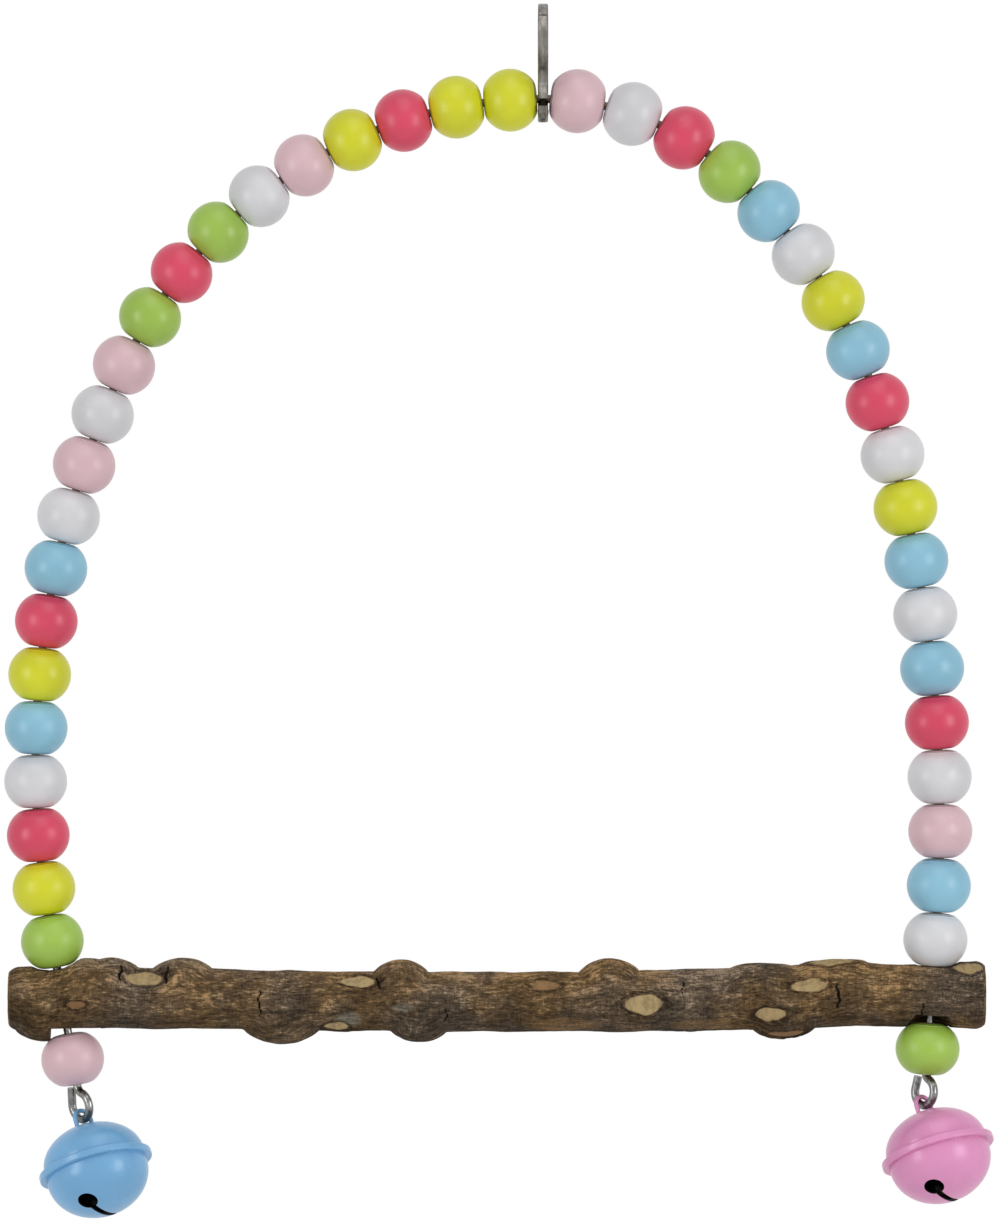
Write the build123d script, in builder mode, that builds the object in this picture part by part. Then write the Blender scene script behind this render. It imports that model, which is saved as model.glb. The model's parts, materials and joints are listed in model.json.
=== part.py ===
"""Bird swing: a beaded wire arch with a branch perch, hung from a snap hook, with a bell at each end.

Millimetres. +X runs along the perch to the right, +Y points away from the viewer, +Z is up.
The origin is the centre of the snap hook's upper loop, where the swing hangs from a bar.
"""
import os
from math import acos, cos, degrees, radians, sin, sqrt

from build123d import *

# Snap hook, cut from flat steel
HOOK_THICKNESS = 3.1
HOOK_WALL = 2.8
HOOK_LOOP_RADIUS = 8.4
HOOK_EYE_RADIUS = 4.2
HOOK_FOOT_DEPTH = 5.8
HOOK_NECK_GAP = 5.0
HOOK_NECK_FILLET = 3.0
HOOK_EDGE = 0.35
GATE_GAP = 0.3
GATE_PIN_RADIUS = 0.8
GATE_PIN_FRONT = 3.2
GATE_PIN_UP = 2.8
GATE_KNUCKLE_RADIUS = 2.0
GATE_TONGUE = 1.3
GATE_STEM_BACK = 0.4
GATE_TIP_ANGLE = 38.5
GATE_NOTCH = 2.1
PIN_CLEARANCE = 0.08
PIN_PROUD = 0.15
SPRING_STRIP = 0.25
SPRING_GAP = 0.08

# Arch wire: each side is a chain of bends from the hook down, then one last bend that ends above the
# perch, then a straight leg that ends in an eye
WIRE_DIAMETER = 2.6
WIRE_SEAT_GAP = 0.08
LEFT_TOP_RADIUS = 142.0
LEFT_TOP_TURN = 65.0
LEFT_LAST_RADIUS = 288.0
RIGHT_TOP_RADIUS = 84.5
RIGHT_TOP_TURN = 41.7
RIGHT_SHOULDER_RADIUS = 160.9
RIGHT_SHOULDER_TURN = 31.5
RIGHT_LAST_RADIUS = 437.0
PERCH_DROP = 276.6
LEG_ABOVE_PERCH = 24.0
EYE_RADIUS = 4.2
EYE_NECK_RADIUS = 2.6
EYE_TURN = 50.0
EYE_TAIL_LEAN = 12.0
EYE_TAIL_GAP = 0.5
# how far below the lower bead the eye's neck starts; on the right it starts inside the bore
LEFT_EYE_GAP = 0.3
RIGHT_EYE_GAP = -1.0

# Turned wooden beads
BEAD_DIAMETER = 19.2
BEAD_LENGTH = 16.0
BEAD_FACE_RADIUS = 4.6
BEAD_BORE_PLAY = 0.35
BEAD_LIP = 0.5
BEAD_GAP = 0.12

# Branch perch: share of the length, lift of the centre line, radius
PERCH_OVERHANG = 16.5
PERCH_RINGS = [
    (0.00, 0.6, 9.3),
    (0.05, 0.8, 9.8),
    (0.12, 1.0, 9.4),
    (0.30, 0.0, 9.1),
    (0.50, -0.3, 8.9),
    (0.70, 0.4, 9.0),
    (0.88, 1.9, 9.2),
    (1.00, 2.0, 9.0),
]
# Knots: share of the length, angle round the branch from the top towards the viewer, rise, half length
PERCH_KNOTS = [
    (0.100, 15.0, 2.8, 9.0),
    (0.178, -5.0, 3.1, 9.0),
    (0.402, 5.0, 3.6, 8.5),
    (0.615, -5.0, 3.9, 9.0),
    (0.770, 35.0, 1.6, 9.0),
    (0.845, 20.0, 2.0, 8.0),
    (0.040, 170.0, 3.4, 6.5),
    (0.279, 175.0, 3.9, 10.5),
    (0.420, 165.0, 3.2, 9.0),
    (0.794, 165.0, 2.6, 9.0),
    (0.220, 265.0, 2.4, 9.0),
    (0.530, 280.0, 2.6, 9.0),
    (0.700, 240.0, 2.2, 8.0),
]
KNOT_RADIUS = 6.0
PERCH_END_CHAMFER = 0.8
PERCH_HOLE_CLEARANCE = 0.25
SEAT_RADIUS = 7.4
SEAT_GAP = 0.3
# heights of the seats over and under the branch's centre line, and the lower beads' drop from their seats
LEFT_SEAT_ABOVE = 9.4
LEFT_SEAT_BELOW = 9.2
LEFT_BEAD_DROP = 1.8
RIGHT_SEAT_ABOVE = 8.5
RIGHT_SEAT_BELOW = 6.2
RIGHT_BEAD_DROP = 2.5

# Jingle bells
BELL_RADIUS = 15.75
BELL_CROWN = 13.6
BELL_BOWL = 15.3
BELL_SKIRT = 2.0
BELL_WALL = 0.7
BELL_RIM = 1.9
BELL_RIM_ROUND = 0.5
BELL_CRIMP_GAP = 0.06
BELL_LEAN = 24.6
BELL_HOLE_RADIUS = 3.05
BELL_HOLE_ANGLE = 40.0
BELL_SLOT = 2.0
BELL_SLOT_TURN = 26.0
LOOP_WIRE = 1.4
LOOP_ROOM = 0.9
LOOP_TO_CROWN = 2.2
LOOP_HEAD_RADIUS = 1.15
LOOP_HEAD = 0.7
PEA_RADIUS = 3.4
PEA_GAP = 0.3

# Values that follow from the sizes above
wire_radius = WIRE_DIAMETER / 2
hook_outer = HOOK_LOOP_RADIUS + HOOK_WALL
eye_outer = HOOK_EYE_RADIUS + HOOK_WALL
foot_centre = -(hook_outer + eye_outer)
seat_floor = foot_centre - eye_outer + HOOK_FOOT_DEPTH
wire_top = seat_floor + WIRE_SEAT_GAP + wire_radius
perch_level = wire_top - PERCH_DROP
left_bends = [(LEFT_TOP_RADIUS, LEFT_TOP_TURN)]
right_bends = [(RIGHT_TOP_RADIUS, RIGHT_TOP_TURN), (RIGHT_SHOULDER_RADIUS, RIGHT_SHOULDER_TURN)]
tightest_bend = min(radius for radius, turn in left_bends + right_bends)
bead_sagitta = BEAD_LENGTH**2 / (8 * tightest_bend)
bead_bore = wire_radius + BEAD_BORE_PLAY + bead_sagitta
up = Vector(0, 0, 1)
front = Vector(0, -1, 0)
# how close a corner has to lie to a line to count as on it
on_line = 1e-6


def save(piece, name):
    """Label a finished sub-part and write it as parts/name.step."""
    piece.label = name
    export_step(piece, f"parts/{name}.step")


def ellipse_height(radius, width, height):
    """Height of an ellipse of half width and height over its axis, at a radius from its middle."""
    return height * sqrt(1 - (radius / width) ** 2)


def upright_plane(origin, across, upward):
    """A sketch plane whose X runs along across and whose Y runs along upward."""
    return Plane(origin=origin, x_dir=across, z_dir=across.cross(upward))


os.makedirs("parts", exist_ok=True)

# Snap hook outline in the YZ plane: a large loop over a small one, joined by a neck
hook_plane = Plane(origin=(-HOOK_THICKNESS / 2, 0, 0), x_dir=(0, 1, 0), z_dir=(1, 0, 0))
middle_plane = Plane.YZ
neck_half = HOOK_NECK_GAP / 2
eye_centre = seat_floor + HOOK_EYE_RADIUS
seat_front = -wire_radius
hook_height = 2 * (hook_outer + eye_outer)

with BuildPart() as hook_plate:
    with BuildSketch(hook_plane) as hook_outline:
        Circle(hook_outer)
        with Locations((0, foot_centre)):
            Circle(eye_outer)
        with Locations((0, foot_centre / 2)):
            Rectangle(HOOK_NECK_GAP + 2 * HOOK_WALL, -foot_centre)
        neck_corners = hook_outline.vertices().filter_by(
            lambda corner: abs(abs(corner.X) - neck_half - HOOK_WALL) < on_line
        )
        fillet(neck_corners, HOOK_NECK_FILLET)
        Circle(HOOK_LOOP_RADIUS, mode=Mode.SUBTRACT)
        with Locations((0, eye_centre)):
            Circle(HOOK_EYE_RADIUS, mode=Mode.SUBTRACT)
        with Locations((0, eye_centre / 2)):
            Rectangle(HOOK_NECK_GAP, -eye_centre, mode=Mode.SUBTRACT)
    extrude(amount=HOOK_THICKNESS)
    plate_sides = hook_plate.faces().filter_by(Axis.X)
    chamfer(plate_sides.edges(), HOOK_EDGE)

# Gate: hinged on a pin in the fork at the foot, closing under the nose at the top
pin_y = -GATE_PIN_FRONT
pin_z = seat_floor - GATE_PIN_UP
tip_y = -hook_outer * cos(radians(GATE_TIP_ANGLE))
tip_z = hook_outer * sin(radians(GATE_TIP_ANGLE))
gate_reach = sqrt((tip_y - pin_y) ** 2 + (tip_z - pin_z) ** 2)
shoulder_z = wire_top - GATE_GAP
notch_z = shoulder_z - GATE_NOTCH
slot_width = GATE_TONGUE + 2 * PIN_CLEARANCE
slot_back = pin_y + GATE_KNUCKLE_RADIUS + GATE_GAP + SPRING_STRIP + SPRING_GAP
stem_back = pin_y + GATE_STEM_BACK

with BuildPart() as hook_body:
    add(hook_plate.part)
    # the front is open for the gate, from the fork up to the nose
    with BuildSketch(hook_plane):
        with Locations((pin_y, pin_z)):
            Circle(gate_reach + GATE_GAP)
        with Locations((seat_front, notch_z)):
            Rectangle(hook_height, hook_height, align=(Align.MAX, Align.MIN), mode=Mode.INTERSECT)
    extrude(amount=HOOK_THICKNESS, mode=Mode.SUBTRACT)
    # the fork's slot takes the gate's tongue and the spring behind it
    with BuildSketch(middle_plane):
        with Locations((slot_back, notch_z)):
            Rectangle(hook_height, hook_height, align=(Align.MAX, Align.MAX))
    extrude(amount=slot_width / 2, both=True, mode=Mode.SUBTRACT)
    with BuildSketch(middle_plane):
        with Locations((pin_y, pin_z)):
            Circle(GATE_PIN_RADIUS)
    extrude(amount=HOOK_THICKNESS, both=True, mode=Mode.SUBTRACT)
save(hook_body.part, "hook_body")

with BuildPart() as hook_gate:
    add(hook_plate.part)
    with BuildSketch(hook_plane):
        with Locations((pin_y, pin_z)):
            Circle(gate_reach)
        with Locations((seat_front, shoulder_z)):
            Rectangle(hook_height, hook_height, align=(Align.MAX, Align.MIN), mode=Mode.INTERSECT)
    extrude(amount=HOOK_THICKNESS, mode=Mode.INTERSECT)
    # the thin tongue runs down from the shoulder and wraps the pin
    with BuildSketch(middle_plane):
        with Locations((stem_back, pin_z)):
            Rectangle(
                GATE_STEM_BACK + GATE_KNUCKLE_RADIUS,
                shoulder_z - pin_z + HOOK_EDGE,
                align=(Align.MAX, Align.MIN),
            )
        with Locations((pin_y, pin_z)):
            Circle(GATE_KNUCKLE_RADIUS)
        with Locations((0, foot_centre)):
            Circle(eye_outer - HOOK_EDGE, mode=Mode.INTERSECT)
        with Locations((pin_y, pin_z)):
            Circle(GATE_PIN_RADIUS + PIN_CLEARANCE, mode=Mode.SUBTRACT)
    extrude(amount=GATE_TONGUE / 2, both=True)
save(hook_gate.part, "hook_gate")

with BuildPart() as gate_pin:
    with BuildSketch(middle_plane):
        with Locations((pin_y, pin_z)):
            Circle(GATE_PIN_RADIUS)
    extrude(amount=HOOK_THICKNESS / 2 + PIN_PROUD, both=True)
    chamfer(gate_pin.edges(), PIN_PROUD)
save(gate_pin.part, "gate_pin")

# The leaf spring stands in the slot behind the knuckle and leans on the back of the gate's stem
spring_back = slot_back - SPRING_GAP - SPRING_STRIP / 2
seat_corner = Vector(seat_front - pin_y, notch_z - pin_z)
spring_pass = seat_corner.normalized() * ((GATE_KNUCKLE_RADIUS + seat_corner.length) / 2)
spring_tip = stem_back + SPRING_GAP + SPRING_STRIP

with BuildPart() as gate_spring:
    with BuildSketch(middle_plane):
        with BuildLine():
            FilletPolyline(
                (spring_back, pin_z - GATE_KNUCKLE_RADIUS),
                (spring_back, pin_z + GATE_PIN_RADIUS),
                (pin_y + spring_pass.X, pin_z + spring_pass.Y),
                (spring_tip, pin_z + spring_pass.Y + GATE_STEM_BACK),
                radius=SPRING_STRIP,
            )
        trace(line_width=SPRING_STRIP)
    extrude(amount=GATE_TONGUE / 2, both=True)
save(gate_spring.part, "gate_spring")


# Arch wire
class ArchSide:
    """One side of the arch: its line from under the hook to the foot of its leg, and its leg's places."""

    def __init__(self, name, direction, bends, last_radius):
        self.name = name
        heading = 0.0
        level = wire_top
        for radius, turn in bends:
            level -= radius * (cos(radians(heading)) - cos(radians(heading + turn)))
            heading += turn
        last_drop = level - perch_level - LEG_ABOVE_PERCH
        last_turn = degrees(acos(cos(radians(heading)) - last_drop / last_radius)) - heading
        point = Vector(0, 0, wire_top)
        self.down = Vector(direction, 0, 0)
        with BuildLine(Plane.XZ) as bend_line:
            for radius, turn in [*bends, (last_radius, last_turn)]:
                bend = JernArc(point, self.down, radius, -direction * turn)
                point = bend @ 1
                self.down = bend % 1
        self.bends = bend_line.wire()
        leg_to_perch = LEG_ABOVE_PERCH / -self.down.Z
        self.hole = point + self.down * leg_to_perch
        self.hole_station = self.bends.length + leg_to_perch

    def place(self, station):
        """Point and direction of the line at a length from the hook."""
        if station >= self.bends.length:
            return self.hole + self.down * (station - self.hole_station), self.down
        point = self.bends.position_at(station, PositionMode.LENGTH)
        return point, self.bends.tangent_at(station, PositionMode.LENGTH)


left = ArchSide("left", -1, left_bends, LEFT_LAST_RADIUS)
right = ArchSide("right", 1, right_bends, RIGHT_LAST_RADIUS)
perch_start = left.hole.X - PERCH_OVERHANG
perch_length = right.hole.X + PERCH_OVERHANG - perch_start


def perch_ring(x):
    """Lift of the branch's centre line over the perch level, and its radius, at x."""
    share = (x - perch_start) / perch_length
    for (low, low_lift, low_radius), (high, high_lift, high_radius) in zip(PERCH_RINGS, PERCH_RINGS[1:]):
        if share <= high:
            way = (share - low) / (high - low)
            return low_lift + (high_lift - low_lift) * way, low_radius + (high_radius - low_radius) * way
    return PERCH_RINGS[-1][1:]


for side, above, below, drop, eye_gap in (
    (left, LEFT_SEAT_ABOVE, LEFT_SEAT_BELOW, LEFT_BEAD_DROP, LEFT_EYE_GAP),
    (right, RIGHT_SEAT_ABOVE, RIGHT_SEAT_BELOW, RIGHT_BEAD_DROP, RIGHT_EYE_GAP),
):
    lift, _ = perch_ring(side.hole.X)
    side.upper_seat = side.hole_station - above - lift
    side.lower_seat = side.hole_station + below - lift
    side.lower_bead = side.lower_seat + drop + BEAD_LENGTH / 2
    side.eye_gap = eye_gap
    side.neck = side.lower_bead + BEAD_LENGTH / 2 + eye_gap
    side.across = side.down.cross(Vector(0, 1, 0))
    side.eye_across = side.across * cos(radians(EYE_TURN)) + front * sin(radians(EYE_TURN))

neck_turn = degrees(acos(EYE_NECK_RADIUS / (EYE_NECK_RADIUS + EYE_RADIUS)))
eye_centre_drop = (EYE_NECK_RADIUS + EYE_RADIUS) * sin(radians(neck_turn))
eye_drop = eye_centre_drop + EYE_RADIUS
# depth of the eye's open end below the neck, and the room that its tail leaves under the bead
tail_start = eye_centre_drop - EYE_RADIUS * sin(radians(EYE_TAIL_LEAN))
tail_room = EYE_TAIL_GAP + wire_radius * sin(radians(EYE_TAIL_LEAN))

with BuildPart() as arch_wire:
    for side in (left, right):
        foot, _ = side.place(side.neck)
        with BuildLine(upright_plane(foot, side.eye_across, side.down)) as eye_line:
            neck = JernArc(foot, side.down, EYE_NECK_RADIUS, -neck_turn)
            ring = JernArc(neck @ 1, neck % 1, EYE_RADIUS, 180 + neck_turn + EYE_TAIL_LEAN)
            tail_length = (tail_start + side.eye_gap - tail_room) / cos(radians(EYE_TAIL_LEAN))
            Line(ring @ 1, (ring @ 1) + (ring % 1) * tail_length)
        with BuildLine() as side_line:
            add(side.bends.edges())
            Line(side.bends @ 1, foot)
            add(eye_line.edges())
        with BuildSketch(Plane(origin=side.bends @ 0, z_dir=side.bends % 0)):
            Circle(wire_radius)
        sweep(path=side_line.wire())
save(arch_wire.part, "arch_wire")


# Beads, threaded on the wire from the hook down to the perch, and one under each end of the perch
def bead_stations(side):
    """Lengths from the hook of as many bead centres as fit above the perch, spread evenly."""
    stations = []
    edge = HOOK_THICKNESS / 2
    last_direction = side.place(0)[1]
    end = side.upper_seat - SEAT_GAP
    while True:
        centre = edge + BEAD_GAP + BEAD_LENGTH / 2
        direction = side.place(centre)[1]
        centre += BEAD_FACE_RADIUS * radians(direction.get_angle(last_direction))
        if centre + BEAD_LENGTH / 2 > end:
            break
        stations.append(centre)
        last_direction = direction
        edge = centre + BEAD_LENGTH / 2
    slack = (end - edge) / len(stations)
    return [centre + slack * (row + 1) for row, centre in enumerate(stations)]


def make_bead(side, station, name):
    """A turned bead with flat ends and an eased bore, with its axis along the wire."""
    point, direction = side.place(station)
    half = BEAD_LENGTH / 2
    with BuildPart() as bead:
        with BuildSketch(upright_plane(point, direction.cross(Vector(0, 1, 0)), direction)):
            with BuildLine():
                Polyline(
                    (BEAD_FACE_RADIUS, -half),
                    (bead_bore + BEAD_LIP, -half),
                    (bead_bore, BEAD_LIP - half),
                    (bead_bore, half - BEAD_LIP),
                    (bead_bore + BEAD_LIP, half),
                    (BEAD_FACE_RADIUS, half),
                )
                ThreePointArc((BEAD_FACE_RADIUS, half), (BEAD_DIAMETER / 2, 0), (BEAD_FACE_RADIUS, -half))
            make_face()
        revolve(axis=Axis(point, direction))
    save(bead.part, name)


for side in (left, right):
    for row, station in enumerate(bead_stations(side), start=1):
        make_bead(side, station, f"bead_{side.name}_{row:02d}")
    make_bead(side, side.lower_bead, f"bead_{side.name}_lower")

# Perch: a bent branch with knots, drilled at both ends and spot-faced for the beads
with BuildPart() as perch:
    for share, lift, radius in PERCH_RINGS:
        ring_centre = Vector(perch_start + share * perch_length, 0, perch_level + lift)
        with BuildSketch(Plane(origin=ring_centre, x_dir=(0, 1, 0), z_dir=(1, 0, 0))):
            Circle(radius)
    loft()
    chamfer(perch.faces().filter_by(GeomType.PLANE).edges(), PERCH_END_CHAMFER)
    for share, angle, rise, half_length in PERCH_KNOTS:
        x = perch_start + share * perch_length
        outward = Vector(0, -sin(radians(angle)), cos(radians(angle)))
        lift, radius = perch_ring(x)
        knot_axis = Vector(x, 0, perch_level + lift) + outward * (radius + rise - KNOT_RADIUS)
        with BuildSketch(upright_plane(knot_axis, Vector(1, 0, 0), outward)):
            with BuildLine():
                EllipticalCenterArc((0, 0), half_length, KNOT_RADIUS, 0, arc_size=180)
                Line((-half_length, 0), (half_length, 0))
            make_face()
        revolve(axis=Axis(knot_axis, (1, 0, 0)))
    for side in (left, right):
        hole_plane = Plane(origin=side.hole, z_dir=side.down)
        with BuildSketch(hole_plane):
            Circle(wire_radius + PERCH_HOLE_CLEARANCE)
        extrude(amount=perch_length, both=True, mode=Mode.SUBTRACT)
        for station, outward in ((side.upper_seat, -side.down), (side.lower_seat, side.down)):
            with BuildSketch(Plane(origin=side.place(station)[0], z_dir=outward)):
                Circle(SEAT_RADIUS)
            extrude(amount=BEAD_LENGTH, mode=Mode.SUBTRACT)
save(perch.part, "perch")

# Jingle bells, each hung by its loop from an eye of the wire
loop_radius = wire_radius + LOOP_WIRE / 2 + LOOP_ROOM
inner_radius = BELL_RADIUS - BELL_WALL
wall_middle = BELL_RADIUS - BELL_WALL / 2
inner_crown = BELL_CROWN - BELL_WALL
inner_bowl = BELL_BOWL - BELL_WALL
rim_radius = BELL_RADIUS + BELL_RIM
flange_radius = rim_radius - BELL_WALL - BELL_CRIMP_GAP
lip_top = 2 * BELL_WALL + BELL_CRIMP_GAP
dome_over_heads = ellipse_height(loop_radius + LOOP_HEAD_RADIUS, inner_radius, inner_crown - BELL_SKIRT)
head_top = BELL_SKIRT + dome_over_heads - BELL_CRIMP_GAP


def shell_section(depth):
    """Half section of a shell of that depth, below the X axis of the sketch: a straight skirt and a dome."""
    dome = depth - BELL_SKIRT
    with BuildSketch() as section:
        with BuildLine():
            EllipticalCenterArc((0, -BELL_SKIRT), BELL_RADIUS, dome, 270, arc_size=90)
            Polyline(
                (BELL_RADIUS, -BELL_SKIRT),
                (BELL_RADIUS, 0),
                (inner_radius, 0),
                (inner_radius, -BELL_SKIRT),
            )
            EllipticalCenterArc((0, -BELL_SKIRT), inner_radius, dome - BELL_WALL, 270, arc_size=90)
            Line((0, BELL_WALL - depth), (0, -depth))
        make_face()
    return section.sketch


for side in (left, right):
    pivot = side.place(side.neck)[0] + side.down * eye_drop
    along = Vector(side.eye_across.X, side.eye_across.Y, 0).normalized()
    bell_up = up * cos(radians(BELL_LEAN)) - along * sin(radians(BELL_LEAN))
    centre = pivot - bell_up * (LOOP_TO_CROWN + BELL_CROWN)
    bell_axis = Axis(centre, bell_up)
    bell_front = (front - bell_up * front.dot(bell_up)).normalized()
    bell_right = bell_up.cross(bell_front)
    shell_plane = upright_plane(centre, bell_right, bell_up)
    loop_normal = (side.eye_across - bell_up * side.eye_across.dot(bell_up)).normalized()
    loop_across = bell_up.cross(loop_normal)
    loop_plane = upright_plane(centre, loop_across, bell_up)
    pivot_height = LOOP_TO_CROWN + BELL_CROWN

    with BuildPart() as bell_loop:
        with BuildLine(loop_plane) as loop_line:
            Line((loop_radius, head_top - LOOP_HEAD), (loop_radius, pivot_height))
            ThreePointArc(
                (loop_radius, pivot_height),
                (0, pivot_height + loop_radius),
                (-loop_radius, pivot_height),
            )
            Line((-loop_radius, pivot_height), (-loop_radius, head_top - LOOP_HEAD))
        with BuildSketch(Plane(origin=loop_line.line @ 0, z_dir=loop_line.line % 0)):
            Circle(LOOP_WIRE / 2)
        sweep(path=loop_line.wire())
        for end in (-loop_radius, loop_radius):
            head_centre = centre + loop_across * end + bell_up * (head_top - LOOP_HEAD)
            with BuildSketch(Plane(origin=head_centre, z_dir=bell_up)):
                Circle(LOOP_HEAD_RADIUS)
            extrude(amount=LOOP_HEAD)
    save(bell_loop.part, f"bell_{side.name}_loop")

    # both shells are drawn as a bowl that hangs below the rim, the crown on a plane turned over
    with BuildPart() as bell_crown:
        with BuildSketch(upright_plane(centre, bell_right, -bell_up)):
            add(shell_section(BELL_CROWN))
            with Locations((wall_middle, 0)):
                Rectangle(flange_radius - wall_middle, BELL_WALL, align=(Align.MIN, Align.MAX))
        revolve(axis=bell_axis)
        for end in (-loop_radius, loop_radius):
            with BuildSketch(Plane(origin=centre + loop_across * end, z_dir=bell_up)):
                Circle(LOOP_WIRE / 2 + BELL_CRIMP_GAP)
            extrude(amount=2 * BELL_CROWN, mode=Mode.SUBTRACT)
    save(bell_crown.part, f"bell_{side.name}_crown")

    slot_across = bell_front * cos(radians(BELL_SLOT_TURN)) - bell_right * sin(radians(BELL_SLOT_TURN))
    slot_plane = upright_plane(centre, slot_across, bell_up)
    with BuildPart() as bell_bowl:
        with BuildSketch(shell_plane) as bowl_profile:
            add(shell_section(BELL_BOWL))
            with Locations((wall_middle, -BELL_CRIMP_GAP)):
                Rectangle(rim_radius - wall_middle, BELL_WALL, align=(Align.MIN, Align.MAX))
            with Locations((rim_radius, -BELL_CRIMP_GAP - BELL_WALL)):
                Rectangle(
                    BELL_WALL, lip_top + BELL_CRIMP_GAP + BELL_WALL, align=(Align.MAX, Align.MIN)
                )
            with Locations((rim_radius, lip_top)):
                Rectangle(BELL_RIM - BELL_CRIMP_GAP, BELL_WALL, align=Align.MAX)
            rim_corners = bowl_profile.vertices().filter_by(
                lambda corner: abs(corner.X - rim_radius) < on_line
            )
            fillet(rim_corners, BELL_RIM_ROUND)
        revolve(axis=bell_axis)
        with BuildSketch(slot_plane):
            with BuildLine():
                slot_end = 2 * BELL_BOWL * sin(radians(BELL_HOLE_ANGLE))
                slot_low = -2 * BELL_BOWL * cos(radians(BELL_HOLE_ANGLE))
                Polyline((0, 0), (slot_end, slot_low), (-slot_end, slot_low), close=True)
            make_face()
        extrude(amount=BELL_SLOT / 2, both=True, mode=Mode.SUBTRACT)
        for turn in (-BELL_HOLE_ANGLE, BELL_HOLE_ANGLE):
            hole_way = slot_across * sin(radians(turn)) - bell_up * cos(radians(turn))
            with BuildSketch(Plane(origin=centre, z_dir=hole_way)):
                Circle(BELL_HOLE_RADIUS)
            extrude(amount=2 * BELL_BOWL, mode=Mode.SUBTRACT)
    save(bell_bowl.part, f"bell_{side.name}_bowl")

    with BuildPart() as bell_pea:
        pea_centre = centre - up * (inner_bowl - PEA_GAP - PEA_RADIUS)
        with BuildSketch(upright_plane(pea_centre, Vector(1, 0, 0), up)):
            Circle(PEA_RADIUS)
            Rectangle(2 * PEA_RADIUS, 2 * PEA_RADIUS, align=(Align.MIN, Align.CENTER), mode=Mode.INTERSECT)
        revolve(axis=Axis(pea_centre, up))
    save(bell_pea.part, f"bell_{side.name}_pea")
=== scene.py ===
"""Bird swing: painted beads on a wire arch over a branch perch, with a bell under each end.

The file is laid out as an add-on and is run as a script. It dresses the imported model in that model's own
frame, in metres: +X runs along the perch, +Y away from the viewer and +Z up, and the origin is the centre
of the snap hook's upper loop.
"""
import json
import math

import bmesh
import bpy
import numpy as np
from mathutils import Matrix, Vector, noise
from mathutils.bvhtree import BVHTree

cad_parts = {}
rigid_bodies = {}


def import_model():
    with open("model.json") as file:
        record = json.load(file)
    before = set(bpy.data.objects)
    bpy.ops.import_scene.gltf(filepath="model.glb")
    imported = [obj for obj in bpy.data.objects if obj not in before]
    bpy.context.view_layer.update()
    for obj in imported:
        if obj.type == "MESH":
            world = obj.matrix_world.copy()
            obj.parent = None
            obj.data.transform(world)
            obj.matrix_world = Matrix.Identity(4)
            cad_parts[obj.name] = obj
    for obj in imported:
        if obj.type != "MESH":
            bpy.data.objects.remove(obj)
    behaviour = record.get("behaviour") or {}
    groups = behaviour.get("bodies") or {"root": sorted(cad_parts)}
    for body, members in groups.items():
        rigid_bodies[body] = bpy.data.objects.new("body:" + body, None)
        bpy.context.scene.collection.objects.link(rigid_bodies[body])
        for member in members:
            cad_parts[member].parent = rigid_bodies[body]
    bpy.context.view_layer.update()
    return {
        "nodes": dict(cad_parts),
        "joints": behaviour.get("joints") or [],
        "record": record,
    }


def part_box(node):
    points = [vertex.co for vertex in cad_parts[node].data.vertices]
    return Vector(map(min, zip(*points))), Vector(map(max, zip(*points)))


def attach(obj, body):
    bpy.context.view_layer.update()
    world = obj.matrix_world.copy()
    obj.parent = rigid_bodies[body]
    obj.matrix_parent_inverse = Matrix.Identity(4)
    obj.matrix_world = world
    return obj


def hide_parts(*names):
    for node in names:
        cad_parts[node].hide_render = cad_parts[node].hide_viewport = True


bl_info = {
    "name": "Bird swing",
    "version": (1, 0, 0),
    "blender": (4, 5, 0),
    "location": "View3D > Sidebar > Bird swing",
    "description": "Dresses a hanging bird swing with painted beads, a branch perch, bells and steel",
    "category": "Object",
}

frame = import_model()
MM = 0.001
JOINTS = {joint["name"]: joint for joint in frame["joints"]}
SLOTS = {row["node"]: row["material_slot"] for row in frame["record"]["subparts"]}
SIDES = ("left", "right")
WIRE_TOP = JOINTS["arch_swing"]["pos_m"]
# The beads on the right are a little wider than the others.
STOUT_SIDE = "bead_right"
# Steps of a bead: round it, along its barrel, over its outer corners and over the lip of its bore
BEAD_STEPS = {"round": 72, "barrel": 33, "corner": 8, "lip": 5}
# Shares of a bead's outer corner: the size of its lip, and where neighbours that lean touch outside the bore
LIP_SHARE = 0.25
CONTACT_SHARE = 0.4
# How far out the wear and the painted shade round the bore reach, in radii of the flat ends
WEAR_AND_SHADE_REACH = 1.35

# Branch perch, in millimetres: share of the length, lift of the centre line, radius
BRANCH_RINGS = [
    (0.00, 0.6, 9.3),
    (0.05, 0.8, 9.8),
    (0.12, 1.0, 9.4),
    (0.30, 0.0, 9.1),
    (0.50, -0.4, 9.1),
    (0.70, 0.1, 9.4),
    (0.88, 1.7, 9.3),
    (0.95, 1.6, 9.8),
    (1.00, 1.4, 10.2),
]
# Swellings: share of the length, angle from the top towards the viewer, rise, half length, half width
BRANCH_BUMPS = [
    (0.080, 10, 2.5, 8.5, 10.0),
    (0.106, 10, 2.6, 8.0, 10.0),
    (0.178, 0, 3.2, 9.0, 10.0),
    (0.402, 5, 3.7, 8.3, 9.0),
    (0.615, -5, 4.0, 9.2, 9.5),
    (0.770, 25, 1.8, 10.0, 9.0),
    (0.845, 15, 2.2, 11.0, 9.0),
    (0.035, 172, 3.3, 8.5, 9.0),
    (0.279, 176, 4.1, 11.5, 10.0),
    (0.420, 168, 3.3, 8.5, 9.0),
    (0.794, 168, 2.8, 9.5, 9.0),
    (0.220, 265, 2.4, 9.0, 8.0),
    (0.530, 280, 2.6, 9.0, 8.0),
    (0.700, 240, 2.2, 8.0, 8.0),
]
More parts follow.
